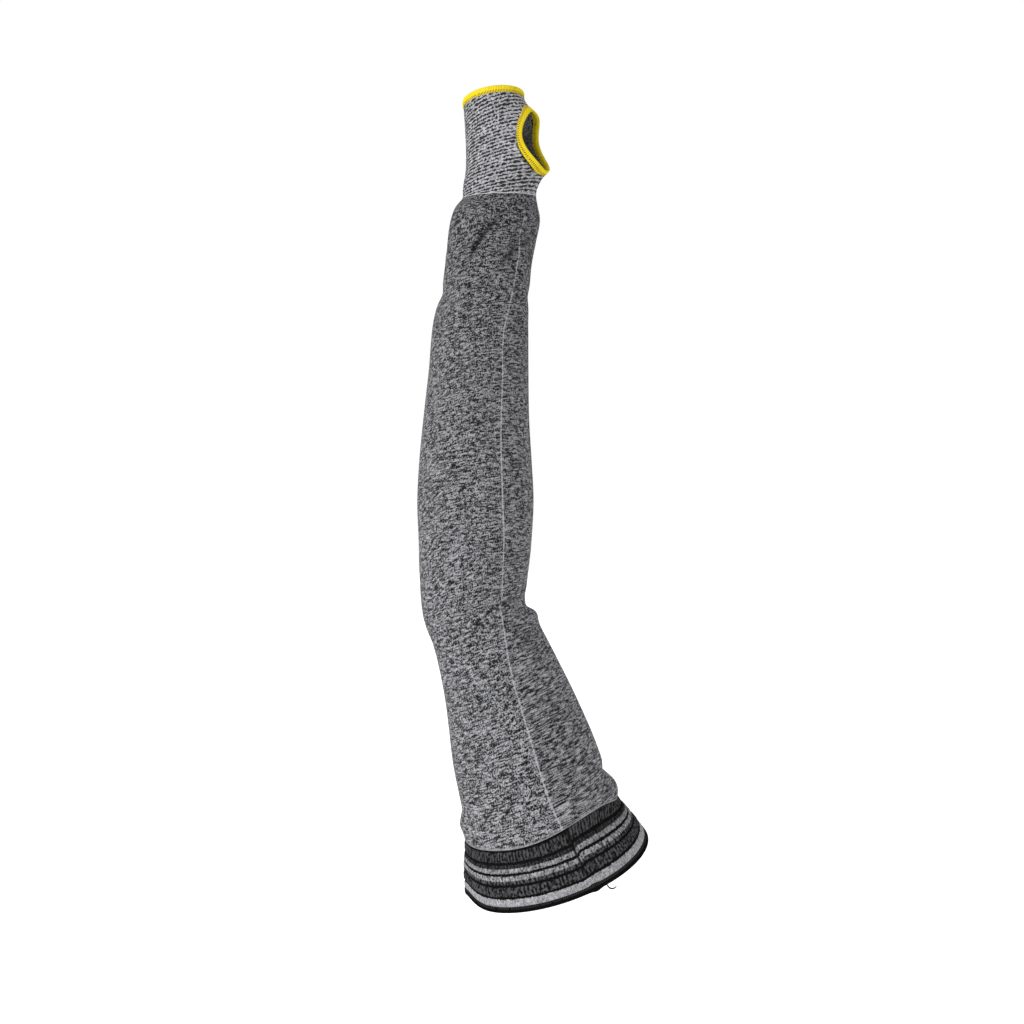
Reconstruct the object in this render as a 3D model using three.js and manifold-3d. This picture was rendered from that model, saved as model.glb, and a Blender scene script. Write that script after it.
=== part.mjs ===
import * as THREE from 'three';
import { mergeVertices } from 'three/addons/utils/BufferGeometryUtils.js';
import Module from 'manifold-3d';

// A knitted cut resistant sleeve with a thumb opening, as it sits on a slightly bent left arm.
// Millimetres, +Z up towards the hand, +X to the palm side, -Y to the thumb side.
// The origin is the middle of the arm opening, at the free edge of the elastic band.

// Heights of the stretches, straight up
const cuffRise = 71.4;
const forearmRise = 290;
const upperArmRise = 151.5;
const bandRise = 34.5;

// How far the bent arm lies to the side and back of the arm opening
const armSway = 59;
const armLean = 28;

// Full widths across and front to back of the knitted tube, stretch by stretch
const mouthWidth = 136;
const mouthDepth = 129;
const upperArmWidth = 106;
const upperArmDepth = 104;
const elbowWidth = 74;
const elbowDepth = 90;
const forearmWidth = 82.5;
const forearmDepth = 87;
const wristWidth = 61;
const wristDepth = 62;
const handThickness = 41;
const handBreadth = 75;
const handTurn = 12;

// Walls and edges
const bodyWall = 1.8;
const cuffWall = 2;
const bandWall = 2;
const bandRelief = 0.7;
const hemThickness = 2.8;
const handHemHeight = 5;
const thumbHemWidth = 4.6;
const bandHemHeight = 4.2;
const seamGap = 0.3;

// Thumb opening, measured to the cut edge of the cuff
const thumbOpeningHeight = 48;
const thumbOpeningAcross = 53;
const thumbOpeningUp = 35.4;
const thumbOpeningSlant = 2;
const thumbBearing = 34;
const thumbRootReach = 18.5;
const thumbRootSpread = 34;

// Folds: a row with every share at 1 has this depth, width and run
const foldDepth = 2.4;
const foldBreadth = 8;
const foldRun = 24;

// Facets
const bodySides = 34;
const bandSides = 40;
const cuffSides = 36;
const cuffRingStep = 5.6;
const thumbSides = 30;

const stretches = {
  band: { start: 0, rise: bandRise },
  upperArm: { start: bandRise, rise: upperArmRise },
  forearm: { start: bandRise + upperArmRise, rise: forearmRise },
  cuff: { start: bandRise + upperArmRise + forearmRise, rise: cuffRise },
};
const sleeveRise = stretches.cuff.start + cuffRise;
const heightAt = (stretch, up) => stretches[stretch].start + up * stretches[stretch].rise;

const girths = {
  mouth: { width: mouthWidth, depth: mouthDepth },
  upperArm: { width: upperArmWidth, depth: upperArmDepth },
  elbow: { width: elbowWidth, depth: elbowDepth },
  forearm: { width: forearmWidth, depth: forearmDepth },
  wrist: { width: wristWidth, depth: wristDepth },
  hand: { width: handThickness, depth: handBreadth },
};

// One row for each cross section: the stretch and how far up it, the centre's place as shares of
// armSway and armLean, the girth it follows with its shares across and deep, its turn as a share
// of handTurn, and how far the thumb root pushes out as a share of thumbRootReach.
const sections = tableRows(
  ['stretch', 'up', 'side', 'back', 'girth', 'across', 'deep', 'turn', 'thumb'],
  [
    ['band', 0, 0, 0, 'mouth', 1, 1, 0, 0],
    ['band', 0.5, 0.1, 0.2, 'mouth', 0.92, 0.925, 0, 0],
    ['band', 1, 0.19, 0.37, 'mouth', 0.825, 0.84, 0, 0],
    ['upperArm', 0.07, 0.235, 0.45, 'upperArm', 1.055, 1.04, 0, 0],
    ['upperArm', 0.18, 0.312, 0.58, 'upperArm', 1, 1, 0, 0],
    ['upperArm', 0.34, 0.43, 0.74, 'upperArm', 0.955, 0.955, 0, 0],
    ['upperArm', 0.5, 0.545, 0.85, 'upperArm', 0.882, 0.92, 0, 0],
    ['upperArm', 0.65, 0.665, 0.93, 'elbow', 1.155, 1.04, 0, 0],
    ['upperArm', 0.8, 0.8, 0.98, 'elbow', 1.06, 1.015, 0, 0],
    ['upperArm', 0.92, 0.92, 1, 'elbow', 1, 1, 0, 0],
    ['forearm', 0, 1.0, 1, 'elbow', 1, 1, 0, 0],
    ['forearm', 0.07, 1.01, 1, 'elbow', 1.035, 0.98, 0, 0],
    ['forearm', 0.16, 0.993, 1, 'forearm', 0.97, 1.01, 0, 0],
    ['forearm', 0.26, 0.988, 1, 'forearm', 1, 1, 0, 0],
    ['forearm', 0.36, 0.987, 1, 'forearm', 0.965, 0.97, 0, 0],
    ['forearm', 0.46, 0.976, 1, 'forearm', 0.91, 0.93, 0, 0],
    ['forearm', 0.57, 0.95, 1, 'forearm', 0.86, 0.88, 0, 0],
    ['forearm', 0.68, 0.925, 1, 'wrist', 1.115, 1.15, 0.1, 0],
    ['forearm', 0.76, 0.87, 1, 'wrist', 1.03, 1.06, 0.2, 0],
    ['forearm', 0.84, 0.83, 1, 'wrist', 1, 1.02, 0.35, 0],
    ['forearm', 0.91, 0.785, 1, 'wrist', 1.03, 1.02, 0.5, 0],
    ['forearm', 0.96, 0.72, 1, 'wrist', 0.985, 1.02, 0.7, 0],
    ['cuff', 0, 0.702, 1, 'wrist', 0.852, 0.99, 0.85, 0],
    ['cuff', 0.12, 0.714, 1, 'wrist', 0.815, 0.99, 1, 0.42],
    ['cuff', 0.28, 0.723, 1, 'hand', 1.08, 0.93, 1, 1.04],
    ['cuff', 0.5, 0.741, 0.99, 'hand', 1, 0.97, 1, 0.95],
    ['cuff', 0.7, 0.757, 0.98, 'hand', 0.98, 1, 1, 0.75],
    ['cuff', 0.84, 0.767, 0.965, 'hand', 0.98, 1, 1, 0.24],
    ['cuff', 0.94, 0.773, 0.945, 'hand', 0.99, 1, 1, 0.03],
    ['cuff', 1, 0.775, 0.93, 'hand', 1.01, 1, 1, 0],
  ],
).map((row) => ({
  height: heightAt(row.stretch, row.up),
  side: -row.side * armSway,
  back: -row.back * armLean,
  halfWidth: (row.across * girths[row.girth].width) / 2,
  halfDepth: (row.deep * girths[row.girth].depth) / 2,
  turn: THREE.MathUtils.degToRad(row.turn * handTurn),
  thumb: row.thumb * thumbRootReach,
}));

// One row for each fold: where its middle is, its slope from level (positive rises away from the
// palm side), and its run, breadth and depth as shares. A negative depth is a groove.
const folds = tableRows(
  ['stretch', 'up', 'bearing', 'slope', 'run', 'breadth', 'depth'],
  [
    ['forearm', 0.905, 108, -52, 0.9, 0.9, -1],
    ['forearm', 0.93, 128, -48, 0.7, 0.9, 0.7],
    ['forearm', 0.86, 88, -55, 0.9, 1, 0.6],
    ['forearm', 0.93, 40, -20, 0.6, 0.8, -0.6],
    ['forearm', 0.965, 30, 0, 0.7, 0.8, 0.6],
    ['forearm', 0.75, 178, 10, 0.7, 0.8, -0.6],
    ['forearm', 0.77, 2, 0, 0.6, 0.7, -0.5],
    ['forearm', 0.93, 215, 30, 0.9, 1, -0.7],
    ['forearm', 0.95, 290, -25, 0.9, 0.9, 0.6],
    ['upperArm', 0.95, 0, -8, 1, 0.7, -1.5],
    ['upperArm', 0.905, 0, -8, 1, 0.8, 0.5],
    ['upperArm', 0.86, 22, 30, 0.5, 0.7, -0.6],
    ['forearm', 0.01, 325, 12, 0.9, 0.9, -1.2],
    ['upperArm', 0.06, 355, 0, 1.4, 0.8, 0.9],
    ['upperArm', 0.135, 0, 0, 1.2, 0.7, -1.3],
    ['upperArm', 0.06, 178, 0, 1.3, 1, 0.7],
    ['upperArm', 0.14, 185, 15, 1, 0.9, -0.5],
    ['upperArm', 0.08, 265, 0, 2.2, 1, 0.7],
  ],
).map((row) => ({
  height: heightAt(row.stretch, row.up),
  bearing: THREE.MathUtils.degToRad(row.bearing),
  slope: THREE.MathUtils.degToRad(row.slope),
  run: row.run * foldRun,
  breadth: row.breadth * foldBreadth,
  depth: row.depth * foldDepth,
}));

// Ring spacing along the body: close at the wrist, the elbow and the gathers over the band.
const bodyRings = tableRows(
  ['stretch', 'from', 'to', 'rings'],
  [
    ['upperArm', 0, 0.36, 8],
    ['upperArm', 0.36, 0.82, 5],
    ['upperArm', 0.82, 1, 6],
    ['forearm', 0, 0.12, 5],
    ['forearm', 0.12, 0.7, 8],
    ['forearm', 0.7, 1, 13],
  ],
);

// The band's stripes from its free edge up: each stripe's share of the band's height, and how
// proud it stands as a share of bandRelief.
const bandStripes = tableRows(
  ['share', 'proud'],
  [
    [0.13, 0.9],
    [0.05, 0],
    [0.15, 1],
    [0.05, 0],
    [0.1, 0.5],
    [0.09, 1],
    [0.04, 0.1],
    [0.09, 1],
    [0.08, 0.5],
    [0.06, 0],
    [0.16, 0.8],
  ],
);

function tableRows(columns, rows) {
  return rows.map((row) => Object.fromEntries(columns.map((name, i) => [name, row[i]])));
}

// Smooth value of one column of the sections at a height, with slopes from the neighbouring rows.
function columnAt(column, height) {
  const last = sections.length - 1;
  let low = 0;
  while (low < last - 1 && sections[low + 1].height < height) {
    low += 1;
  }
  const slopeAt = (i) => {
    const before = sections[Math.max(i - 1, 0)];
    const after = sections[Math.min(i + 1, last)];
    return (after[column] - before[column]) / (after.height - before.height);
  };
  const start = sections[low];
  const end = sections[low + 1];
  const span = end.height - start.height;
  const t = (height - start.height) / span;
  if (t < 0 || t > 1) {
    const edge = t < 0 ? start : end;
    return edge[column] + slopeAt(t < 0 ? low : low + 1) * (height - edge.height);
  }
  return THREE.MathUtils.lerp(start[column], end[column], t * t * (3 - 2 * t))
    + span * (t * (1 - t) ** 2 * slopeAt(low) - t * t * (1 - t) * slopeAt(low + 1));
}

// The cross section's centre and its across, front and up directions.
function frameAt(height) {
  const step = 0.5;
  const centre = (h) => new THREE.Vector3(columnAt('side', h), columnAt('back', h), h);
  const up = centre(height + step).sub(centre(height - step)).normalize();
  const across = new THREE.Vector3(1, 0, 0).addScaledVector(up, -up.x).normalize();
  const front = across.clone().cross(up);
  return { centre: centre(height), across, front };
}

const angleBetween = (a, b) => Math.atan2(Math.sin(a - b), Math.cos(a - b));

function foldLift(height, bearing, radius) {
  return folds.reduce((lift, fold) => {
    const along = angleBetween(bearing, fold.bearing) * radius;
    const rise = height - fold.height;
    const run = along * Math.cos(fold.slope) + rise * Math.sin(fold.slope);
    const width = rise * Math.cos(fold.slope) - along * Math.sin(fold.slope);
    return lift + fold.depth * Math.exp(-((run / fold.run) ** 2) - (width / fold.breadth) ** 2);
  }, 0);
}

// A point of the outer face of the knit at a height and a bearing round the tube, counted from
// the palm side towards the thumb side, and raised by a lift along the face's own normal.
function knitPoint(height, bearing, lift = 0) {
  const { centre, across, front } = frameAt(height);
  const halfWidth = columnAt('halfWidth', height);
  const halfDepth = columnAt('halfDepth', height);
  const turn = columnAt('turn', height);
  const own = bearing + turn;
  const x = halfWidth * Math.cos(own);
  const y = halfDepth * Math.sin(own);
  const normal = new THREE.Vector2(x / halfWidth ** 2, y / halfDepth ** 2).normalize();
  const thumbAngle = angleBetween(bearing, THREE.MathUtils.degToRad(thumbBearing));
  const spread = THREE.MathUtils.degToRad(thumbRootSpread);
  const bulge = columnAt('thumb', height) * Math.exp(-((thumbAngle / spread) ** 2));
  const raise = lift + bulge + foldLift(height, bearing, Math.hypot(x, y));
  const point = new THREE.Vector2(x, y).addScaledVector(normal, raise);
  point.rotateAround(new THREE.Vector2(), -turn);
  return centre.addScaledVector(across, point.x).addScaledVector(front, point.y);
}

// A closed solid from rings of points: ring after ring, the last one joined to the first.
function ringSolid(rings) {
  const sides = rings[0].length;
  const positions = rings.flat().flatMap((p) => [p.x, p.y, p.z]);
  const index = [];
  rings.forEach((ring, i) => {
    const next = ((i + 1) % rings.length) * sides;
    for (let j = 0; j < sides; j += 1) {
      const k = (j + 1) % sides;
      const [a, b, c, d] = [i * sides + j, i * sides + k, next + k, next + j];
      index.push(a, c, b, a, d, c);
    }
  });
  const geometry = new THREE.BufferGeometry();
  geometry.setAttribute('position', new THREE.Float32BufferAttribute(positions, 3));
  geometry.setIndex(index);
  return geometry;
}

// A tube of the knit whose wall runs through the profile's [height, lift] points, which go up
// the outer face and down the inner one.
function knitTube(profile, sides) {
  return ringSolid(profile.map(([height, lift]) => Array.from(
    { length: sides },
    (_, j) => knitPoint(height, (2 * Math.PI * j) / sides, lift),
  )));
}

const wallProfile = (heights, wall) => [
  ...heights.map((height) => [height, 0]),
  ...heights.toReversed().map((height) => [height, -wall]),
];

const proudOf = (wall) => (hemThickness - wall) / 2;

// The six corners of an overlocked edge, as [distance past the knit, lift] pairs.
function hemProfile(size, wall) {
  const proud = proudOf(wall);
  const round = hemThickness / 4;
  return [
    [0, proud],
    [size - round, proud],
    [size, proud - round],
    [size, -wall - proud + round],
    [size - round, -wall - proud],
    [0, -wall - proud],
  ];
}

// The thumb opening's edge: a point at a turn round it and a distance in from the cut edge.
const thumbHeight = stretches.cuff.start + thumbOpeningUp;
const thumbRadius = frameAt(thumbHeight).centre.distanceTo(
  knitPoint(thumbHeight, THREE.MathUtils.degToRad(thumbBearing)),
);
function thumbEdge(angle, inset, lift) {
  const rise = (thumbOpeningHeight / 2 - inset) * Math.sin(angle);
  const slant = (-thumbOpeningSlant * rise) / (thumbOpeningHeight / 2);
  const along = (thumbOpeningAcross / 2 - inset) * Math.cos(angle) - slant;
  const bearing = THREE.MathUtils.degToRad(thumbBearing) + along / thumbRadius;
  return knitPoint(thumbHeight + rise, bearing, lift);
}

function thumbPlug(clear) {
  const loop = (lift) => Array.from(
    { length: thumbSides },
    (_, j) => thumbEdge((2 * Math.PI * j) / thumbSides, 0, lift),
  );
  const hub = (lift) => Array(thumbSides).fill(thumbEdge(0, thumbOpeningAcross / 2, lift));
  const proud = proudOf(cuffWall);
  const lifts = [-cuffWall - clear, -cuffWall - proud, proud, clear];
  return ringSolid([hub(lifts[0]), ...lifts.map(loop), hub(lifts.at(-1))]);
}

const wasm = await Module();
wasm.setup();

function asSolid(geometry) {
  const merged = mergeVertices(geometry, 1e-4);
  return new wasm.Manifold(new wasm.Mesh({
    numProp: 3,
    vertProperties: Float32Array.from(merged.attributes.position.array),
    triVerts: Uint32Array.from(merged.index.array.filter((_, i, all) => {
      const first = i - (i % 3);
      const [a, b, c] = [all[first], all[first + 1], all[first + 2]];
      return a !== b && b !== c && c !== a;
    })),
  }));
}

function cutAway(geometry, tool) {
  const { vertProperties, triVerts } = asSolid(geometry).subtract(asSolid(tool)).getMesh();
  const result = new THREE.BufferGeometry();
  result.setAttribute('position', new THREE.BufferAttribute(vertProperties, 3));
  result.setIndex(new THREE.BufferAttribute(triVerts, 1));
  return result;
}

function evenHeights(from, to, step) {
  const count = Math.max(Math.round((to - from) / step), 1);
  return Array.from({ length: count + 1 }, (_, i) => THREE.MathUtils.lerp(from, to, i / count));
}

// Ribbed knit cuff, open at the hand and at the wrist, with the thumb opening cut through it.
function handCuff() {
  const heights = evenHeights(
    stretches.cuff.start + seamGap / 2,
    sleeveRise - handHemHeight - seamGap,
    cuffRingStep,
  );
  return cutAway(knitTube(wallProfile(heights, cuffWall), cuffSides), thumbPlug(3 * cuffWall));
}

// Overlocked edge round the hand end of the cuff.
function handHem() {
  const foot = sleeveRise - handHemHeight;
  const profile = hemProfile(handHemHeight, cuffWall).map(([past, lift]) => [foot + past, lift]);
  return knitTube(profile, cuffSides);
}

// Overlocked edge round the thumb opening.
function thumbHem() {
  return ringSolid(hemProfile(thumbHemWidth, cuffWall).map(([past, lift]) => Array.from(
    { length: thumbSides },
    (_, j) => thumbEdge((2 * Math.PI * j) / thumbSides, seamGap + past, lift),
  )));
}

// The long heather knit tube from the wrist to the elastic band.
function sleeveBody() {
  const heights = [stretches.upperArm.start + seamGap / 2];
  bodyRings.forEach(({ stretch, from, to, rings }) => {
    for (let i = 1; i <= rings; i += 1) {
      heights.push(heightAt(stretch, THREE.MathUtils.lerp(from, to, i / rings)));
    }
  });
  heights[heights.length - 1] -= seamGap / 2;
  return knitTube(wallProfile(heights, bodyWall), bodySides);
}

// Striped elastic band at the upper arm, with a low rib for each stripe.
function armBand() {
  const foot = bandHemHeight + seamGap;
  const top = stretches.upperArm.start - seamGap / 2;
  const total = bandStripes.reduce((sum, stripe) => sum + stripe.share, 0);
  const profile = [];
  let reached = foot;
  bandStripes.forEach(({ share, proud }) => {
    const next = reached + ((top - foot) * share) / total;
    const lift = proud * bandRelief;
    const shoulder = (next - reached) / 5;
    profile.push([reached + shoulder, lift], [next - shoulder, lift]);
    reached = next;
  });
  profile.unshift([foot, 0]);
  profile.push([top, 0]);
  const inner = evenHeights(foot, top, bandRise / 4).toReversed();
  profile.push(...inner.map((height) => [height, -bandWall]));
  return knitTube(profile, bandSides);
}

// Overlocked free edge of the band.
function bandHem() {
  const profile = hemProfile(bandHemHeight, bandWall)
    .map(([past, lift]) => [bandHemHeight - past, lift])
    .toReversed();
  return knitTube(profile, bandSides);
}

const knit = (color, roughness) => new THREE.MeshStandardMaterial({ color, roughness, metalness: 0 });
const pieces = [
  ['hand_cuff', handCuff, knit(0x8f9094, 0.95)],
  ['hand_hem', handHem, knit(0xe6cf14, 0.85)],
  ['thumb_hem', thumbHem, knit(0xe6cf14, 0.85)],
  ['sleeve_body', sleeveBody, knit(0x6e6e72, 0.95)],
  ['arm_band', armBand, knit(0x2e2e33, 0.9)],
  ['band_hem', bandHem, knit(0x141416, 0.9)],
];

const sleeve = new THREE.Group();
pieces.forEach(([name, shape, material]) => {
  const mesh = new THREE.Mesh(shape(), material);
  mesh.name = name;
  sleeve.add(mesh);
});

export default sleeve;
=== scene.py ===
import math

import bpy
import numpy as np
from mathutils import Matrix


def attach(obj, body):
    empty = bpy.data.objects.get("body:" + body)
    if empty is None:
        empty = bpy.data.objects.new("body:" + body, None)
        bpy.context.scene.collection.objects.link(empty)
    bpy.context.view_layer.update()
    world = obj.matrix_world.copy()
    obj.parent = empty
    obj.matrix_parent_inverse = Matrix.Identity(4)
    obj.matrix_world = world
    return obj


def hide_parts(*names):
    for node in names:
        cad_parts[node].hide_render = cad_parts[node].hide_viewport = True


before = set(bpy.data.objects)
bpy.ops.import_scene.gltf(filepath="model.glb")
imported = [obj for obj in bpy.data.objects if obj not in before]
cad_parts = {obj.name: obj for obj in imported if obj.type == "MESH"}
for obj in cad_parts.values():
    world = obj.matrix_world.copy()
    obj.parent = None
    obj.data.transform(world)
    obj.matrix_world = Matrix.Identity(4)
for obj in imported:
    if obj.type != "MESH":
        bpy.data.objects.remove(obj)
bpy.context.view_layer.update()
bpy.ops.object.select_all(action="DESELECT")

# Sleeve body: one seamless tube of grey and black heather yarn, knitted round from the
# cuff to the elastic band. It narrows to a bend in the middle, swells above it, creases
# inside it and gathers a little over the band.

# Heights and lengths are in millimetres. Bearings run from the right side, +X, towards the
# front, -Y.

# Cross sections, bottom to top: height, centre's x and y, half width, half depth, turn in
# degrees, and how far the cuff bulges round the thumb opening.
SECTIONS = np.array([
    (0, 0, 0, 68, 64.5, 0, 0),
    (17.25, -5.9, -5.6, 62.56, 59.66, 0, 0),
    (34.5, -11.21, -10.36, 56.1, 54.18, 0, 0),
    (45.11, -13.86, -12.6, 55.91, 54.08, 0, 0),
    (61.77, -18.41, -16.24, 53, 52, 0, 0),
    (86.01, -25.37, -20.72, 50.61, 49.66, 0, 0),
    (110.25, -32.16, -23.8, 46.75, 47.84, 0, 0),
    (132.98, -39.23, -26.04, 42.73, 46.8, 0, 0),
    (155.7, -47.2, -27.44, 39.22, 45.67, 0, 0),
    (173.88, -54.28, -28, 37, 45, 0, 0),
    (186, -59, -28, 37, 45, 0, 0),
    (206.3, -59.59, -28, 38.29, 44.1, 0, 0),
    (232.4, -58.59, -28, 40.01, 43.94, 0, 0),
    (261.4, -58.29, -28, 41.25, 43.5, 0, 0),
    (290.4, -58.23, -28, 39.81, 42.2, 0, 0),
    (319.4, -57.58, -28, 37.54, 40.46, 0, 0),
    (351.3, -56.05, -28, 35.48, 38.28, 0, 0),
    (383.2, -54.58, -28, 34.01, 35.65, 1.2, 0),
    (406.4, -51.33, -28, 31.41, 32.86, 2.4, 0),
    (429.6, -48.97, -28, 30.5, 31.62, 4.2, 0),
    (449.9, -46.32, -28, 31.41, 31.62, 6, 0),
    (464.4, -42.48, -28, 30.04, 31.62, 8.4, 0),
    (476, -41.42, -28, 25.99, 30.69, 10.2, 0),
    (484.57, -42.13, -28, 24.86, 30.69, 12, 7.77),
    (495.99, -42.66, -28, 22.14, 34.88, 12, 19.24),
    (511.7, -43.72, -27.72, 20.5, 36.38, 12, 17.57),
    (525.98, -44.66, -27.44, 20.09, 37.5, 12, 13.88),
    (535.98, -45.25, -27.02, 20.09, 37.5, 12, 4.44),
    (543.12, -45.61, -26.46, 20.29, 37.5, 12, 0.55),
    (547.4, -45.73, -26.04, 20.71, 37.5, 12, 0),
])

# Folds: height, bearing, slope, run, breadth and depth. The wide ones come first, and the
# fine creases below the cuff, at the bend and over the band start at row FINE_FOLDS.
FOLDS = np.array([
    (448.4, 108, -52, 21.6, 7.2, -2.4),
    (455.7, 128, -48, 16.8, 7.2, 1.68),
    (435.4, 88, -55, 21.6, 8, 1.44),
    (455.7, 40, -20, 14.4, 6.4, -1.44),
    (465.8, 30, 0, 16.8, 6.4, 1.44),
    (403.5, 178, 10, 16.8, 6.4, -1.44),
    (409.3, 2, 0, 14.4, 5.6, -1.2),
    (455.7, 215, 30, 21.6, 8, -1.68),
    (461.5, 290, -25, 21.6, 7.2, 1.44),
    (173.6, 0, -8, 24, 3.6, -3.0),
    (167.6, 0, -8, 24, 5.4, 2.2),
    (164.8, 22, 30, 12, 5.6, -1.44),
    (188.9, 325, 12, 21.6, 7.2, -2.88),
    (43.6, 355, 0, 33.6, 6.4, 2.16),
    (55, 0, 0, 28.8, 5.6, -3.12),
    (43.6, 178, 0, 31.2, 8, 1.68),
    (55.7, 185, 15, 24, 7.2, -1.2),
    (46.6, 265, 0, 52.8, 8, 1.68),
    (453, 93, -50, 12, 2.4, -1.7),
    (437, 110, -62, 13, 2.4, -1.7),
    (434, 64, -52, 15, 2.8, -1.4),
    (446, 120, -50, 10, 3.0, 0.8),
    (470, 22, 4, 9, 1.8, -0.7),
    (465, 22, 2, 9, 1.8, -0.7),
    (457, 26, -8, 8, 1.8, -0.7),
    (441, 22, -10, 9, 2.0, -0.7),
    (436, 160, 4, 9, 2.2, -0.6),
    (430, 162, 6, 9, 2.0, 0.5),
    (185, 2, -6, 20, 3.4, -1.9),
    (10, 178, 90, 24, 8, 1.3),
    (157, 36, 12, 9, 2.0, -0.9),
    (150, 30, 14, 12, 2.4, -0.5),
])

FINE_FOLDS = 18

# The body's ends and wall, its wales, the height of a course, and the radius that its
# pattern is rolled to.
BODY_FROM, BODY_TO, BODY_WALL = 34.55, 475.97, 1.8
WALE_COUNT, COURSE_PITCH = 240, 0.8
RING_RADIUS = 40.0

# The bulge round the thumb opening: its bearing and how far it fades, in degrees.
BULGE_BEARING, BULGE_SPREAD = 34, 34
# How far up and down the tube's direction is measured, and how much further where it turns
# into the cuff.
REACH, CUFF_REACH = 0.5, 6
CUFF_TURN_FROM, CUFF_TURN_OVER = 440, 25


def bearing_at(share_round):
    """The bearing at a share of the way round, which starts and ends at the back."""
    return 2 * math.pi * (0.75 - share_round)


def half_turn(angle):
    """The same angle, brought within half a turn either way."""
    return np.arctan2(np.sin(angle), np.cos(angle))


def sections_at(height):
    """Centre, half width, half depth, turn and bulge at each height."""
    heights, rows = SECTIONS[:, 0], SECTIONS[:, 1:]
    last = len(heights) - 1
    before = np.maximum(np.arange(last + 1) - 1, 0)
    after = np.minimum(np.arange(last + 1) + 1, last)
    slopes = (rows[after] - rows[before]) / (heights[after] - heights[before])[:, None]
    low = np.clip(np.searchsorted(heights, height) - 1, 0, last - 1)
    span = (heights[low + 1] - heights[low])[:, None]
    t = (height - heights[low])[:, None] / span
    blend = rows[low] + (rows[low + 1] - rows[low]) * t * t * (3 - 2 * t)
    blend += span * (t * (1 - t) ** 2 * slopes[low] - t * t * (1 - t) * slopes[low + 1])
    under = rows[low] + slopes[low] * t * span
    over = rows[low + 1] + slopes[low + 1] * (t - 1) * span
    return np.where(t < 0, under, np.where(t > 1, over, blend))


def fold_lift(height, bearing, radius, folds):
    """How far the folds raise or sink the knit."""
    lift = np.zeros_like(height)
    for middle, facing, slope, run, breadth, depth in folds:
        along = half_turn(bearing - math.radians(facing)) * radius
        rise = height - middle
        cosine, sine = math.cos(math.radians(slope)), math.sin(math.radians(slope))
        far = (along * cosine + rise * sine) / run
        wide = (rise * cosine - along * sine) / breadth
        lift += depth * np.exp(-far ** 2 - wide ** 2)
    return lift


def sleeve_points(height, bearing, lift=0.0):
    """Points of the sleeve in metres, from heights and lifts in millimetres and bearings."""
    row = sections_at(height)
    reach = REACH + CUFF_REACH * np.clip((height - CUFF_TURN_FROM) / CUFF_TURN_OVER, 0, 1)
    step = sections_at(height + reach)[:, :2] - sections_at(height - reach)[:, :2]
    up = np.column_stack([step, 2 * reach])
    up /= np.linalg.norm(up, axis=1)[:, None]
    across = np.array([1.0, 0.0, 0.0]) - up * up[:, :1]
    across /= np.linalg.norm(across, axis=1)[:, None]
    front = np.cross(across, up)
    turn = np.radians(row[:, 4])
    x = row[:, 2] * np.cos(bearing + turn)
    y = row[:, 3] * np.sin(bearing + turn)
    normal = np.column_stack([x / row[:, 2] ** 2, y / row[:, 3] ** 2])
    normal /= np.linalg.norm(normal, axis=1)[:, None]
    from_bulge = np.degrees(half_turn(bearing - math.radians(BULGE_BEARING)))
    bulge = row[:, 5] * np.exp(-(from_bulge / BULGE_SPREAD) ** 2)
    raised = lift + bulge + fold_lift(height, bearing, np.hypot(x, y), FOLDS)
    x += normal[:, 0] * raised
    y += normal[:, 1] * raised
    turned_x = x * np.cos(turn) + y * np.sin(turn)
    turned_y = y * np.cos(turn) - x * np.sin(turn)
    centre = np.column_stack([row[:, :2], height])
    return (centre + across * turned_x[:, None] + front * turned_y[:, None]) / 1000


# How far the courses slant round the sleeve, at heights up it, and how much of the slant
# goes from side to side and from back to front.
SLANT_HEIGHTS = (0, 100, 135, 165, 215, 430, 480, 550)
SLANTS = (24, 24, 13, 11, 34, 38, 13, 13)
SLANT_ACROSS, SLANT_FORWARD = 0.27, 0.2
# The stretch at a bend is shared out over this reach up and down. That ends below the cuff.
BEND_REACH = 40
BEND_TO, BEND_FADE = 455, 30


def lean_at(height, reach):
    """How far the tube leans to the right for each millimetre up."""
    return (sections_at(height + reach)[:, 0] - sections_at(height - reach)[:, 0]) / (2 * reach)


def course_place(height, bearing):
    """Distance up the cloth across its courses, which run slanted round the sleeve, and
    which share out the stretch at a bend."""
    slant = np.interp(height, SLANT_HEIGHTS, SLANTS)
    width = sections_at(height)[:, 2]
    sharper = lean_at(height, REACH) - lean_at(height, BEND_REACH)
    below_cuff = np.clip((BEND_TO - height) / BEND_FADE, 0, 1)
    eased = height - width * np.cos(bearing) * sharper * below_cuff
    return eased - slant * (SLANT_ACROSS * np.cos(bearing) + SLANT_FORWARD * np.sin(bearing))


# How much higher the band meets the body on the inside of the bend, the bearing where it is
# highest, and how far it fades past that bearing and before it, in degrees.
SEAM_RISE, SEAM_RISE_BEARING = 8.3, 40
SEAM_FADE_PAST, SEAM_FADE_BEFORE = 38, 35


def seam_rise(bearing):
    """How much higher than at the back the band meets the body."""
    off = np.degrees(bearing) - SEAM_RISE_BEARING
    return SEAM_RISE * np.exp(-(off / np.where(off > 0, SEAM_FADE_PAST, SEAM_FADE_BEFORE)) ** 2)


def flat_cloth(name, around, along):
    """A flat grid of cloth, ready to be laid round the sleeve."""
    bpy.ops.mesh.primitive_grid_add(
        x_subdivisions=around, y_subdivisions=along, size=1,
    )
    piece = bpy.context.object
    piece.name = piece.data.name = name
    return piece


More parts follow.
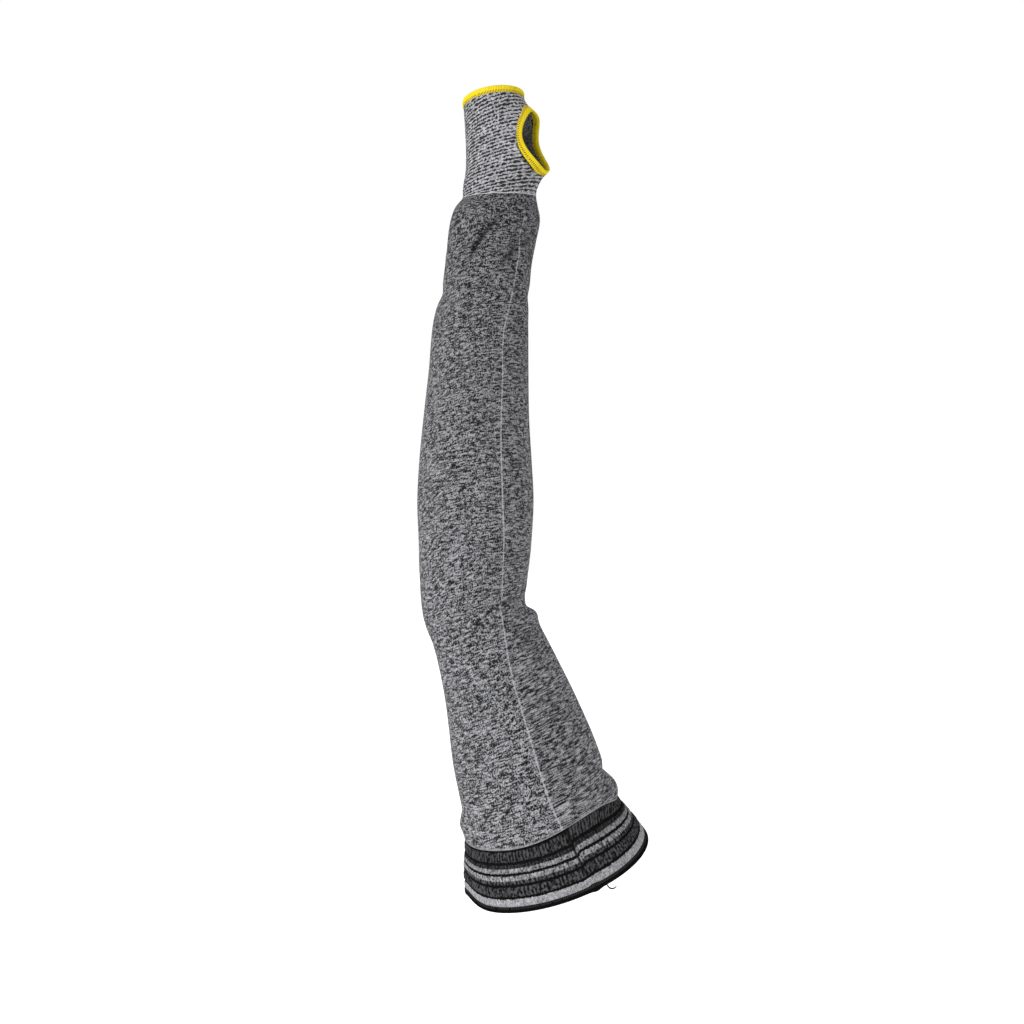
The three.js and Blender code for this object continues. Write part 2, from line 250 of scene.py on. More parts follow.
def lay_cloth(piece, lie):
    """Move each point of the flat cloth to where lie puts it, and keep its cloth coordinates."""
    mesh = piece.data
    flat = np.empty(len(mesh.vertices) * 3)
    mesh.vertices.foreach_get("co", flat)
    flat = flat.reshape(-1, 3)[:, :2] + 0.5
    points, uv, yarn, extra = lie(flat[:, 0], flat[:, 1])
    mesh.vertices.foreach_set("co", points.ravel())
    corners = np.empty(len(mesh.loops), dtype=np.int32)
    mesh.loops.foreach_get("vertex_index", corners)
    mesh.uv_layers.active.data.foreach_set("uv", uv[corners].ravel())
    mesh.attributes.new("yarn", "FLOAT_VECTOR", "POINT").data.foreach_set("vector", yarn.ravel())
    for name, values in extra.items():
        mesh.attributes.new(name, "FLOAT", "POINT").data.foreach_set("value", values)
    mesh.update()


def close_seam(piece):
    """Merge the edges where the cloth meets itself, and shade it smooth."""
    bpy.ops.object.select_all(action="DESELECT")
    piece.select_set(True)
    bpy.context.view_layer.objects.active = piece
    bpy.ops.object.mode_set(mode="EDIT")
    bpy.ops.mesh.select_all(action="SELECT")
    bpy.ops.mesh.remove_doubles(threshold=0.000002)
    bpy.ops.object.mode_set(mode="OBJECT")
    bpy.ops.object.shade_smooth()


def give_wall(piece, thickness, outside, inside):
    """Give the cloth its thickness inwards, with the reverse of the knit on the inside."""
    piece.data.materials.append(outside)
    piece.data.materials.append(inside)
    wall = piece.modifiers.new("Wall", "SOLIDIFY")
    wall.thickness = thickness / 1000
    wall.offset = -1
    wall.material_offset = 1
    bpy.context.view_layer.objects.active = piece
    bpy.ops.object.modifier_apply(modifier=wall.name)


class Fabric:
    """A node material, with short ways to add and join its nodes."""

    def __init__(self, name, roughness, sheen, gloss=0.1):
        self.material = bpy.data.materials.new(name)
        self.material.use_nodes = True
        self.tree = self.material.node_tree
        self.shader = self.tree.nodes["Principled BSDF"]
        self.shader.inputs["Roughness"].default_value = roughness
        self.shader.inputs["Specular IOR Level"].default_value = gloss
        self.shader.inputs["Sheen Weight"].default_value = sheen
        self.shader.inputs["Sheen Roughness"].default_value = 0.5

    def join(self, socket, value):
        if isinstance(value, bpy.types.NodeSocket):
            self.tree.links.new(value, socket)
        else:
            socket.default_value = value

    def add(self, kind, inputs, **settings):
        made = self.tree.nodes.new("ShaderNode" + kind)
        for key, value in settings.items():
            setattr(made, key, value)
        for key, value in inputs.items():
            self.join(made.inputs[key], value)
        return made

    def maths(self, operation, *values):
        return self.add("Math", dict(enumerate(values)), operation=operation).outputs[0]

    def plus(self, *values):
        total = values[0]
        for value in values[1:]:
            total = self.maths("ADD", total, value)
        return total

    def times(self, a, b):
        return self.maths("MULTIPLY", a, b)

    def weigh(self, *pairs):
        """The sum of noises about their middle, each with its weight."""
        return self.plus(*[self.times(self.plus(value, -0.5), weight) for value, weight in pairs])

    def step_up(self, value, low, high):
        """0 below low, 1 above high, and smooth between them."""
        made = self.add(
            "MapRange", {0: value, 1: low, 2: high}, interpolation_type="SMOOTHSTEP",
        )
        return made.outputs[0]

    def uv(self):
        place = self.add("SeparateXYZ", {0: self.add("UVMap", {}, uv_map="UVMap").outputs[0]})
        return place.outputs[0], place.outputs[1]

    def attribute(self, name, output="Fac"):
        return self.add("Attribute", {}, attribute_name=name).outputs[output]

    def yarn_noise(self, long, thick, detail, shift):
        """Noise stretched along the courses: long and thick are its size in millimetres."""
        scaled = self.add(
            "Mapping",
            {
                "Vector": self.attribute("yarn", "Vector"),
                "Location": (shift, shift * 0.7, shift * 1.3),
                "Scale": (1 / long, 1 / long, 1 / thick),
            },
        )
        made = self.add("TexNoise", {"Vector": scaled.outputs[0], "Scale": 1.0, "Detail": detail})
        return made.outputs[0]

    def stitches(self, u, v, wale, course):
        """Plain knit stitches, two slanted legs in each wale: their height and row number."""
        side = self.maths("PINGPONG", self.times(u, 2 / wale), 1.0)
        leg = self.maths("PINGPONG", self.times(u, 4 / wale), 1.0)
        place = self.plus(self.times(v, 1 / course), self.times(side, 0.8))
        loop = self.times(self.maths("PINGPONG", place, 0.5), 2.0)
        height = self.times(self.maths("POWER", leg, 0.6), self.plus(self.times(loop, 0.7), 0.3))
        level = self.plus(self.times(v, 1 / course), self.times(side, 0.3))
        return height, self.maths("FLOOR", level)

    def row_noise(self, row, long, detail, shift):
        """Noise along each row of stitches, with no likeness between one row and the next."""
        ring = self.add("SeparateXYZ", {0: self.attribute("yarn", "Vector")})
        at = self.add("CombineXYZ", {
            0: self.times(ring.outputs[0], 1 / long),
            1: self.times(ring.outputs[1], 1 / long),
            2: self.plus(self.times(row, 7.31), shift),
        })
        made = self.add("TexNoise", {"Vector": at.outputs[0], "Scale": 1.0, "Detail": detail})
        return made.outputs[0]

    def blend(self, share, a, b, kind="MIX"):
        mixed = self.add("Mix", {0: share, 6: a, 7: b}, data_type="RGBA", blend_type=kind)
        return mixed.outputs[2]

    def ramp(self, value, stops, interpolation="LINEAR"):
        made = self.add("ValToRGB", {0: value})
        band = made.color_ramp
        band.interpolation = interpolation
        while len(band.elements) < len(stops):
            band.elements.new(0.5)
        for element, (place, color) in zip(band.elements, stops):
            element.position = place
            element.color = (*color, 1) if len(color) == 3 else color
        return made

    def finish(self, color, relief, depth):
        """Colour and bump: depth is the bump's height in millimetres."""
        bump = self.add("Bump", {"Height": relief, "Distance": depth / 1000, "Strength": 1.0})
        self.join(self.shader.inputs["Base Color"], color)
        self.join(self.shader.inputs["Normal"], bump.outputs[0])
        return self.material


def grey(value, cool=1.05):
    return (value, value, value * cool)


def heather_knit():
    cloth = Fabric("heather_knit", roughness=0.95, sheen=0.03)
    u, v = cloth.uv()
    stitch, row = cloth.stitches(u, v, 2 * math.pi * RING_RADIUS / WALE_COUNT, COURSE_PITCH)
    fleck = cloth.row_noise(row, 3.6, 0.0, 3.1)
    speckle = cloth.row_noise(row, 0.65, 0.0, 63.0)
    strand = cloth.row_noise(row, 7.0, 0.0, 11.7)
    worm = cloth.yarn_noise(4.2, 0.85, 0.0, 5.3)
    streak = cloth.yarn_noise(7.5, 0.8, 0.0, 23.9)
    patch = cloth.yarn_noise(11, 7, 1.0, 17.0)
    streaky = cloth.attribute("streaky")
    # The stitch heights also darken the colour in the gaps between legs and rows: painted shade
    # between the stitches.
    mixed = cloth.weigh(
        (fleck, cloth.plus(cloth.times(streaky, -0.4), 1.5)),
        (speckle, cloth.plus(cloth.times(streaky, -1.0), 2.1)),
        (strand, 0.25),
        (worm, 1.15),
        (streak, cloth.plus(cloth.times(streaky, 0.5), 0.3)),
        (patch, 0.06),
        (stitch, 0.3),
    )
    contrast = cloth.plus(cloth.times(cloth.step_up(cloth.attribute("up"), 0.7, 1.0), 0.6), 1.0)
    tone = cloth.plus(cloth.times(mixed, contrast), 0.47)
    color = cloth.ramp(tone, [
        (0.0, grey(0.006)),
        (0.24, grey(0.025)),
        (0.38, grey(0.09)),
        (0.52, grey(0.15)),
        (0.75, grey(0.21)),
        (1.0, grey(0.34)),
    ]).outputs[0]
    # Darker towards the cuff, by the share of the way up the body.
    darker_toward_cuff = cloth.ramp(cloth.attribute("up"), [
        (0.0, grey(1.0, 1)),
        (0.45, grey(0.93, 1)),
        (0.75, grey(0.85, 1)),
        (0.88, grey(0.71, 1)),
        (1.0, grey(0.61, 1)),
    ]).outputs[0]
    color = cloth.blend(1.0, color, darker_toward_cuff, "MULTIPLY")
    # Painted shade in the fine creases: the deeper the crease, the darker the knit.
    shade = cloth.ramp(cloth.attribute("crease_shade"), [(0.0, grey(1.0, 1)), (1.0, grey(0.2, 1))])
    color = cloth.blend(1.0, color, shade.outputs[0], "MULTIPLY")
    from_line = cloth.maths("ABSOLUTE", cloth.attribute("from_line"))
    jog = cloth.times(cloth.plus(cloth.row_noise(row, 9.0, 0.0, 41.0), -0.5), 1.6)
    on_line = cloth.step_up(cloth.plus(from_line, jog), 0.65, 0.3)
    shown = cloth.step_up(cloth.attribute("up"), 0.98, 0.965)
    dashed = cloth.times(cloth.times(on_line, shown), cloth.step_up(fleck, 0.12, 0.36))
    color = cloth.blend(cloth.times(dashed, 0.75), color, (*grey(0.38), 1))
    selvage = cloth.step_up(cloth.plus(cloth.attribute("edge"), cloth.times(fleck, 1.8)), 1.9, 1.3)
    color = cloth.blend(cloth.times(selvage, 0.5), color, (*grey(0.38), 1))
    relief = cloth.plus(cloth.times(stitch, 0.7), cloth.times(tone, 0.3))
    return cloth.finish(color, relief, 0.3)


def knit_reverse(name, value):
    cloth = Fabric(name, roughness=0.95, sheen=0.0)
    u, v = cloth.uv()
    mottle = cloth.yarn_noise(2.2, 1.1, 2.0, 31.0)
    purl = cloth.maths("PINGPONG", cloth.times(v, 2 / COURSE_PITCH), 1.0)
    bead = cloth.maths("PINGPONG", cloth.times(u, 1.6), 1.0)
    relief = cloth.plus(cloth.times(purl, 0.5), cloth.times(bead, 0.25), mottle)
    color = cloth.ramp(mottle, [
        (0.3, grey(value * 0.45)),
        (0.5, grey(value)),
        (0.7, grey(value * 1.5)),
    ]).outputs[0]
    return cloth.finish(color, relief, 0.3)


# The lengthwise line of paler stitches, as heights and bearings up the tube.
LINE_HEIGHTS = (34, 39, 57, 74, 101, 115, 133, 150, 163, 186, 196, 218, 239, 260, 303, 333,
                351, 366, 383, 417, 436, 456, 476)
LINE_BEARINGS = (73, 74, 77, 78, 78.6, 78.4, 78, 74.5, 69, 58, 57, 58, 59.5, 62, 62.5, 61.2,
                 60.8, 62, 60.5, 50, 47, 51, 52)
# The flecks are streaky to the right of the line: fully so low down, up to a height where
# they fade, and less above it.
STREAKS_TO, STREAKS_FADE, LINE_FADE, HIGH_STREAKS = 190, 60, 6, 0.35
# How deep a fine crease is where its painted shade is darkest, in millimetres.
DEEPEST_CREASE = 1.7


def body_lie(share_round, share_along):
    bearing = bearing_at(share_round)
    foot = BODY_FROM + seam_rise(bearing)
    height = foot + share_along * (BODY_TO - foot)
    course = course_place(height, bearing)
    uv = np.column_stack([share_round * 2 * math.pi * RING_RADIUS, course])
    yarn = np.column_stack([
        RING_RADIUS * np.cos(bearing), RING_RADIUS * np.sin(bearing), course,
    ])
    line = np.radians(np.interp(height, LINE_HEIGHTS, LINE_BEARINGS))
    off = half_turn(bearing - line) * RING_RADIUS
    low = np.clip((STREAKS_TO - height) / STREAKS_FADE, 0, 1)
    right = np.clip(0.5 - off / LINE_FADE, 0, 1)
    # The fine creases also set where shade is painted into the knit.
    fine = fold_lift(height, bearing, RING_RADIUS, FOLDS[FINE_FOLDS:])
    extra = {
        "from_line": off,
        "up": share_along,
        "edge": height - foot,
        "streaky": low * right + HIGH_STREAKS * right * (1 - low),
        "crease_shade": np.clip(-fine / DEEPEST_CREASE, 0, 1),
    }
    return sleeve_points(height, bearing), uv, yarn, extra


body = flat_cloth("sleeve_body_knit", around=150, along=264)
lay_cloth(body, body_lie)
close_seam(body)
give_wall(body, BODY_WALL, heather_knit(), knit_reverse("heather_reverse", 0.09))
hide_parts("sleeve_body")
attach(body, "root")

# Elastic band: a ribbed strip with rubber threads knitted in, striped black, charcoal and
# pale grey all round. Its ends are sewn together where the stripes step, and it is
# knitted on to the foot of the body.
BAND_FROM, BAND_TO, BAND_WALL = 3.0, 34.5, 2.0
BAND_RADIUS = 58.0
RIB_COUNT = 140
BAND_RIB = 2 * math.pi * BAND_RADIUS / RIB_COUNT
JOIN_HEIGHTS = (0, 3, 10, 19, 27, 36)
JOIN_BEARINGS = (66.0, 67.2, 67.6, 68.6, 70.0, 70.5)
# Stripes from the hem up: where each starts as a share of the band, its grey, how much the
# ribs show in it as painted shade between them, and how proud it stands in millimetres.
STRIPES = [
    (0.0, 0.28, 0.0, 0.5),
    (0.159, 0.006, 0.0, 0.0),
    (0.206, 0.034, 1.0, 0.65),
    (0.365, 0.006, 0.0, 0.05),
    (0.413, 0.035, 1.0, 0.35),
    (0.476, 0.19, 0.4, 0.6),
    (0.556, 0.006, 0.0, 0.1),
    (0.603, 0.18, 0.3, 0.6),
    (0.683, 0.02, 0.6, 0.4),
    (0.746, 0.006, 0.0, 0.0),
    (0.794, 0.029, 1.0, 0.6),
    (0.968, 0.005, 0.0, 0.1),
]


# The step of the stripes beyond the sewn join: its size, how soon it is reached, and how
# deep and wide the hook in it is. From STEP_HELD on it fades over STEP_FADE.
JOIN_STEP, JOIN_STEP_REACH = 1.6, 1.6
JOIN_HOOK, JOIN_HOOK_REACH = 0.9, 1.3
STEP_HELD, STEP_FADE = 8, 60


def band_step(height, bearing):
    """How far the stripes are shifted up beyond the sewn join, hooked down right at it, and
    how far past the join each point lies."""
    join = np.radians(np.interp(height, JOIN_HEIGHTS, JOIN_BEARINGS))
    past = (join - bearing) * BAND_RADIUS
    hook = JOIN_HOOK * np.exp(-(past / JOIN_HOOK_REACH) ** 2)
    hooked = JOIN_STEP * (1 - np.exp(-np.clip(past, 0, None) / JOIN_STEP_REACH)) - hook
    settled = np.exp(-np.clip(past - STEP_HELD, 0, None) / STEP_FADE)
    fades = np.clip((height - 5) / 8, 0.1, 1) * np.clip((bearing + math.pi / 2) / 0.5, 0, 1)
    return np.where(past > 0, hooked * settled * fades, 0), past


# Where the band is pinched at its left side, its free edge is higher: how much, at which
# bearing, and how far that fades, in radians.
RIM_RISE, RIM_RISE_BEARING, RIM_RISE_SPREAD = 2.6, math.radians(163), 0.26


def rim_rise(bearing):
    """How much higher the free edge runs where the band is pinched."""
    return RIM_RISE * np.exp(-((bearing - RIM_RISE_BEARING) / RIM_RISE_SPREAD) ** 2)


def stripe_relief(share):
    starts = np.array([row[0] for row in STRIPES] + [1.0])
    proud = np.array([row[3] for row in STRIPES])
    lift = np.zeros_like(share)
    for low, high, rise in zip(starts[:-1], starts[1:], proud):
        across = np.clip((share - low) / (high - low), 0, 1)
        inside = (share >= low) & (share < high)
        lift += np.where(inside, rise * np.minimum(1, 5 * np.minimum(across, 1 - across)), 0)
    return lift


# The power that keeps the seam's rise near the top of the band, the depth and reach of the
# pucker at the join, and how far the ribs stand out.
RISE_POWER = 3.2
PUCKER_DEPTH, PUCKER_REACH = 0.5, 0.9
RIB_RELIEF = 0.09


def band_lie(share_round, share_along):
    bearing = bearing_at(share_round)
    height = BAND_FROM + share_along * (BAND_TO - BAND_FROM)
    raised = rim_rise(bearing) * (1 - share_along) ** 2
    raised += seam_rise(bearing) * share_along ** RISE_POWER
    step, past = band_step(height, bearing)
    striped = np.clip(share_along - step / (BAND_TO - BAND_FROM), 0, 0.9999)
    around = share_round * 2 * math.pi * BAND_RADIUS
    puckered = -PUCKER_DEPTH * np.exp(-(past / PUCKER_REACH) ** 2)
    rib = RIB_RELIEF * np.sin(2 * math.pi * around / BAND_RIB)
    lift = stripe_relief(striped) + puckered + rib
    lift *= np.minimum(1, 12 * np.minimum(share_along, 1 - share_along) + 0.2)
    uv = np.column_stack([around, height])
    yarn = np.column_stack([
        BAND_RADIUS * np.cos(bearing), BAND_RADIUS * np.sin(bearing), height,
    ])
    extra = {"striped": striped, "past_join": past}
    return sleeve_points(height + raised, bearing, lift), uv, yarn, extra


def striped_elastic():
    cloth = Fabric("striped_elastic", roughness=0.95, sheen=0.0, gloss=0.0)
    u, v = cloth.uv()
    fine, row = cloth.stitches(u, v, BAND_RIB / 2, 0.95)
    wobble = cloth.times(cloth.plus(cloth.row_noise(row, 1.1, 0.0, 8.0), -0.5), 0.035)
    striped = cloth.plus(cloth.attribute("striped"), wobble)
    bands = cloth.ramp(
        striped,
        [(start, (*grey(value), ribs)) for start, value, ribs, _ in STRIPES],
        "CONSTANT",
    )
    rib = cloth.maths("PINGPONG", cloth.times(u, 2 / BAND_RIB), 1.0)
    tick = cloth.row_noise(row, 1.0, 0.0, 14.0)
    block = cloth.yarn_noise(1.5, 1.9, 0.0, 27.0)
    ribbed = bands.outputs[1]
    # The rib term paints shade between the ribs and the stitch heights paint shade between the
    # stitches. Block and tick vary the tone at random.
    speck = cloth.plus(
        cloth.times(ribbed, cloth.plus(cloth.times(rib, 0.7), cloth.times(block, 2.0), -1.3)),
        cloth.times(cloth.plus(tick, -0.5), cloth.plus(cloth.times(ribbed, 1.2), 0.8)),
        cloth.times(fine, 0.2),
        0.3,
    )
    color = cloth.blend(1.0, bands.outputs[0], cloth.ramp(speck, [
        (0.0, grey(0.15, 1)),
        (0.45, grey(1.0, 1)),
        (1.0, grey(2.1, 1)),
    ]).outputs[0], "MULTIPLY")
    past = cloth.maths("ABSOLUTE", cloth.attribute("past_join"))
    sewn = cloth.step_up(past, cloth.plus(cloth.times(striped, 1.6), 0.6), 0.4)
    sewn = cloth.times(sewn, cloth.plus(cloth.step_up(striped, 0.14, 0.24), 0.1))
    color = cloth.blend(cloth.times(sewn, 0.8), color, (*grey(0.006), 1))
    relief = cloth.plus(cloth.times(fine, 0.6), cloth.times(tick, 0.5), cloth.times(rib, 0.3))
    return cloth.finish(color, relief, 0.3)


band = flat_cloth("arm_band_knit", around=360, along=96)
lay_cloth(band, band_lie)
close_seam(band)
give_wall(band, BAND_WALL, striped_elastic(), knit_reverse("elastic_reverse", 0.035))
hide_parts("arm_band")
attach(band, "root")

# Band hem: the free edge of the band, oversewn all round with black overlock thread. The
# stitches lie side by side over the edge, and the thread's loose end hangs out.
HEM_BULK = 2.9
BAND_HEM_LENGTH, BAND_HEM_PROUD, BAND_HEM_ABOVE = 3.9, 0.25, 0.3
# One overlock stitch: its width round the edge, its slant as a share of that, and its relief.
STITCH, STITCH_SLANT, STITCH_RELIEF = 1.3, 0.6, 0.22
# Where the stitching overlaps its own start, how far that fades, in radians, and its bulk.
OVERLAP_BEARING, OVERLAP_SPREAD, OVERLAP_BULK = math.radians(65.5), 0.05, 0.7
# The loose end, along its length: bearings, and how far it falls below the band's height 0.
THREAD_STEPS, THREAD_SIDES, THREAD_RADIUS = 40, 6, 0.5
THREAD_SHARES = (0.0, 0.2, 0.4, 0.55, 0.7, 0.85, 1.0)
THREAD_BEARINGS = (58.5, 58.6, 58.2, 57.4, 56.2, 54.8, 53.6)
THREAD_FALLS = (-0.6, 1.2, 2.9, 4.0, 4.7, 4.8, 4.5)


def close_tube(piece):
    """Close a tube of thread along its seam and at its ends, and turn its faces out."""
    close_seam(piece)
    bpy.ops.object.mode_set(mode="EDIT")
    bpy.ops.mesh.select_all(action="SELECT")
    bpy.ops.mesh.normals_make_consistent(inside=False)
    bpy.ops.object.mode_set(mode="OBJECT")


def hem_ring(name, stitches, columns_each, edge_points, radius):
    """A closed ring of overlock stitches round an edge, each a low slanted ridge."""
    piece = flat_cloth(name, stitches * columns_each, 20)

    def lie(share_round, share_along):
        slant = STITCH_SLANT * np.sin(math.pi * 2 * share_along)
        ridge = np.abs(np.sin(math.pi * (share_round * stitches + slant)))
        out = STITCH_RELIEF * (np.sqrt(ridge) - 0.6)
        points = edge_points(share_round, share_along, out)
        around = share_round * stitches * STITCH
        uv = np.column_stack([around, share_along])
        turned = 2 * math.pi * share_round
        yarn = np.column_stack([
            radius * np.cos(turned), radius * np.sin(turned), 10 * share_along,
        ])
        return points, uv, yarn, {}

    lay_cloth(piece, lie)
    close_tube(piece)
    return piece


def hem_profile(turn, length, wall, out):
    """Round corners of a hem's section: distance past the knit's edge, and lift."""
    half, thick = length / 2, HEM_BULK / 2
    across, deep = np.cos(turn), np.sin(turn)
    along = half + (half + out) * np.sign(across) * np.abs(across) ** 0.55
    lift = -wall / 2 + (thick + out) * np.sign(deep) * np.abs(deep) ** 0.6
    return along, lift


def overlock_thread(name, bright, deep, slit):
    """Overlock thread: bright over the stitches, with painted shade between them and darker
    patches here and there, and small slits where the knit shows through."""
    cloth = Fabric(name, roughness=0.8, sheen=0.0, gloss=0.0)
    u, v = cloth.uv()
    wave = cloth.maths("SINE", cloth.times(v, 2 * math.pi))
    slanted = cloth.plus(cloth.times(u, 1 / STITCH), cloth.times(wave, STITCH_SLANT))
    between = cloth.maths("PINGPONG", slanted, 0.5)
    ridge = cloth.step_up(between, 0.02, 0.4)
    twist = cloth.maths("PINGPONG", cloth.plus(cloth.times(u, 5.0), cloth.times(v, 60.0)), 1.0)
    patch = cloth.yarn_noise(1.6, 1.2, 1.0, 2.0)
    # The deep colour is painted shade between the stitches. It also shows on the stitches as
    # darker patches where the patch noise is low.
    color = cloth.blend(cloth.times(ridge, cloth.step_up(patch, 0.15, 0.5)), deep, bright)
    row = cloth.maths("ABSOLUTE", cloth.plus(v, -0.34))
    tick = cloth.times(cloth.step_up(row, 0.075, 0.055), cloth.step_up(between, 0.32, 0.22))
    tick = cloth.times(tick, cloth.step_up(patch, 0.3, 0.42))
    color = cloth.blend(cloth.times(tick, 0.95), color, slit)
    relief = cloth.plus(ridge, cloth.times(twist, 0.2))
    return cloth.finish(color, relief, 0.25)


def band_edge(share_round, share_along, out):
    bearing = bearing_at(share_round)
    over = np.exp(-((bearing - OVERLAP_BEARING) / OVERLAP_SPREAD) ** 2)
    proud = out + BAND_HEM_PROUD + OVERLAP_BULK * over
    past, lift = hem_profile(2 * math.pi * share_along, BAND_HEM_LENGTH, BAND_WALL, proud)
    return sleeve_points(BAND_FROM + BAND_HEM_ABOVE - past + rim_rise(bearing), bearing, lift)


def loose_end():
    """The thread's end, left where the stitching stopped: down, and curled to one side."""
    thread = flat_cloth("loose_thread", THREAD_STEPS, THREAD_SIDES)

    def lie(share_round, share_along):
        bearing = np.interp(share_round, THREAD_SHARES, THREAD_BEARINGS)
        fall = np.interp(share_round, THREAD_SHARES, THREAD_FALLS)
        turn = 2 * math.pi * share_along
        middle = sleeve_points(-fall, np.radians(bearing), np.full_like(bearing, 0.2))
        thin = THREAD_RADIUS * np.abs(np.sin(math.pi * share_round)) ** 0.2
        middle[:, 0] += thin * np.cos(turn) / 1000
        middle[:, 2] += thin * np.sin(turn) / 1000
        middle[:, 1] += thin * np.sin(turn + 0.8) / 1000
        uv = np.column_stack([share_round * 10, share_along])
        yarn = np.column_stack([share_round * 10, share_along * 0, fall])
        return middle, uv, yarn, {}

    lay_cloth(thread, lie)
    close_tube(thread)
    return thread


band_hem = hem_ring(
    "band_hem_thread", stitches=310, columns_each=5, edge_points=band_edge, radius=66,
)
tail = loose_end()
bpy.ops.object.select_all(action="DESELECT")
tail.select_set(True)
band_hem.select_set(True)
bpy.context.view_layer.objects.active = band_hem
bpy.ops.object.join()
bpy.ops.object.shade_smooth()
# Thread colours: over the stitches, painted shade between them, and the slits.
band_hem.data.materials.append(overlock_thread(
    "black_overlock", (*grey(0.006), 1), (*grey(0.002), 1), (*grey(0.03), 1),
))
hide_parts("band_hem")
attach(band_hem, "root")

# Hand cuff: heavier pale grey yarn with a broken black thread between its courses, so it
# is ridged all round. It is knitted on to the body's narrow end, and the thumb opening is
# cut through it.
CUFF_FROM, CUFF_TO, CUFF_WALL = 476.03, 543.2, 2.0
CUFF_WALE_COUNT, CUFF_COURSE, CUFF_RIDGE = 150, 2.3, 0.34
CUFF_RADIUS = 30.0
# The thumb opening's middle and size. The cloth is cut at a share of its reach, under the
# hem's thread.
THUMB_HEIGHT, THUMB_RADIUS, THUMB_BEARING = 511.4, 45.8, math.radians(BULGE_BEARING)
OPENING_HEIGHT, OPENING_ACROSS, OPENING_SLANT = 48.0, 53.0, 2.0
CUT_AT = 0.985


def opening_reach(height, bearing):
    """How far a point lies from the opening's middle: 1 at the cut edge, less inside."""
    rise = height - THUMB_HEIGHT
    along = (bearing - THUMB_BEARING) * THUMB_RADIUS + OPENING_SLANT * rise / (OPENING_HEIGHT / 2)
    return np.hypot(rise / (OPENING_HEIGHT / 2), along / (OPENING_ACROSS / 2))


def cuff_place(share_round, share_along):
    return CUFF_FROM + share_along * (CUFF_TO - CUFF_FROM), bearing_at(share_round)


def cuff_lie(share_round, share_along):
    height, bearing = cuff_place(share_round, share_along)
    course = course_place(height, bearing)
    wobble = 0.16 * np.sin(bearing * 23 + height * 0.7) + 0.12 * np.sin(bearing * 41 - height)
    ridge = np.abs(np.sin(math.pi * (course + wobble) / CUFF_COURSE)) ** 0.7
    lift = CUFF_RIDGE * (ridge - 0.75)
    uv = np.column_stack([share_round * 2 * math.pi * CUFF_RADIUS, course + wobble])
    yarn = np.column_stack([
        CUFF_RADIUS * np.cos(bearing), CUFF_RADIUS * np.sin(bearing), course + wobble,
    ])
    extra = {"edge": height - CUFF_FROM, "outer": np.clip(-np.cos(bearing), 0, 1) ** 2}
    return sleeve_points(height, bearing, lift), uv, yarn, extra


def cut_opening(piece):
    """Delete the points of the flat cloth that lie inside the thumb opening."""
    mesh = piece.data
    flat = np.empty(len(mesh.vertices) * 3)
    mesh.vertices.foreach_get("co", flat)
    flat = flat.reshape(-1, 3)
    height, bearing = cuff_place(flat[:, 0] + 0.5, flat[:, 1] + 0.5)
    reach = opening_reach(height, bearing)
    bpy.ops.object.mode_set(mode="EDIT")
    bpy.ops.mesh.select_mode(type="VERT")
    bpy.ops.mesh.select_all(action="DESELECT")
    bpy.ops.object.mode_set(mode="OBJECT")
    mesh.vertices.foreach_set("select", reach < CUT_AT)
    bpy.ops.object.mode_set(mode="EDIT")
    bpy.ops.mesh.delete(type="VERT")
    bpy.ops.object.mode_set(mode="OBJECT")


def cuff_knit():
    cloth = Fabric("cuff_knit", roughness=0.95, sheen=0.03)
    u, v = cloth.uv()
    sway = cloth.times(cloth.plus(cloth.yarn_noise(2.6, 4.0, 1.0, 19.0), -0.5), 0.45)
    course = cloth.plus(cloth.times(v, 1 / CUFF_COURSE), sway)
    from_groove = cloth.maths("PINGPONG", course, 0.5)
    index = cloth.maths("ROUND", course)
    broken = cloth.row_noise(index, 2.1, 0.0, 2.0)
    bolder = cloth.times(cloth.attribute("outer"), 0.07)
    width = cloth.plus(cloth.times(broken, 0.85), bolder, -0.23)
    dash = cloth.step_up(cloth.maths("SUBTRACT", from_groove, width), 0.06, -0.06)
    wale = 2 * math.pi * CUFF_RADIUS / CUFF_WALE_COUNT
    fine, row = cloth.stitches(u, v, wale, CUFF_COURSE / 2)
    fuzz = cloth.row_noise(row, 1.1, 0.0, 9.0)
    # Fuzz varies the tone at random, and the stitch heights darken it between legs and rows as
    # painted shade.
    tone = cloth.plus(cloth.times(fuzz, 0.9), cloth.times(fine, 0.45), -0.2)
    pale = cloth.ramp(tone, [
        (0.1, grey(0.05)),
        (0.4, grey(0.23)),
        (0.8, grey(0.47)),
    ]).outputs[0]
    color = cloth.blend(cloth.times(dash, 0.96), pale, (*grey(0.008), 1))
    selvage = cloth.step_up(cloth.plus(cloth.attribute("edge"), cloth.times(fuzz, 0.8)), 1.3, 0.9)
    color = cloth.blend(cloth.times(selvage, 0.6), color, (*grey(0.5), 1))
    relief = cloth.plus(cloth.times(fine, 0.5), cloth.times(fuzz, 0.4), cloth.times(dash, -0.6))
    return cloth.finish(color, relief, 0.3)


cuff = flat_cloth("hand_cuff_knit", around=252, along=168)
cut_opening(cuff)
lay_cloth(cuff, cuff_lie)
close_seam(cuff)
give_wall(cuff, CUFF_WALL, cuff_knit(), knit_reverse("cuff_reverse", 0.16))
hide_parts("hand_cuff")
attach(cuff, "root")

# Hand hem and thumb hem: the cut edges of the cuff, oversewn with bright yellow overlock
# thread in close stitches that wrap over the edge.
HAND_HEM_FROM, HAND_HEM_LENGTH = 542.5, 4.9
THUMB_HEM_LENGTH = 4.6


def hand_edge(share_round, share_along, out):
    past, lift = hem_profile(2 * math.pi * share_along, HAND_HEM_LENGTH, CUFF_WALL, out)
    return sleeve_points(HAND_HEM_FROM + past, bearing_at(share_round), lift)


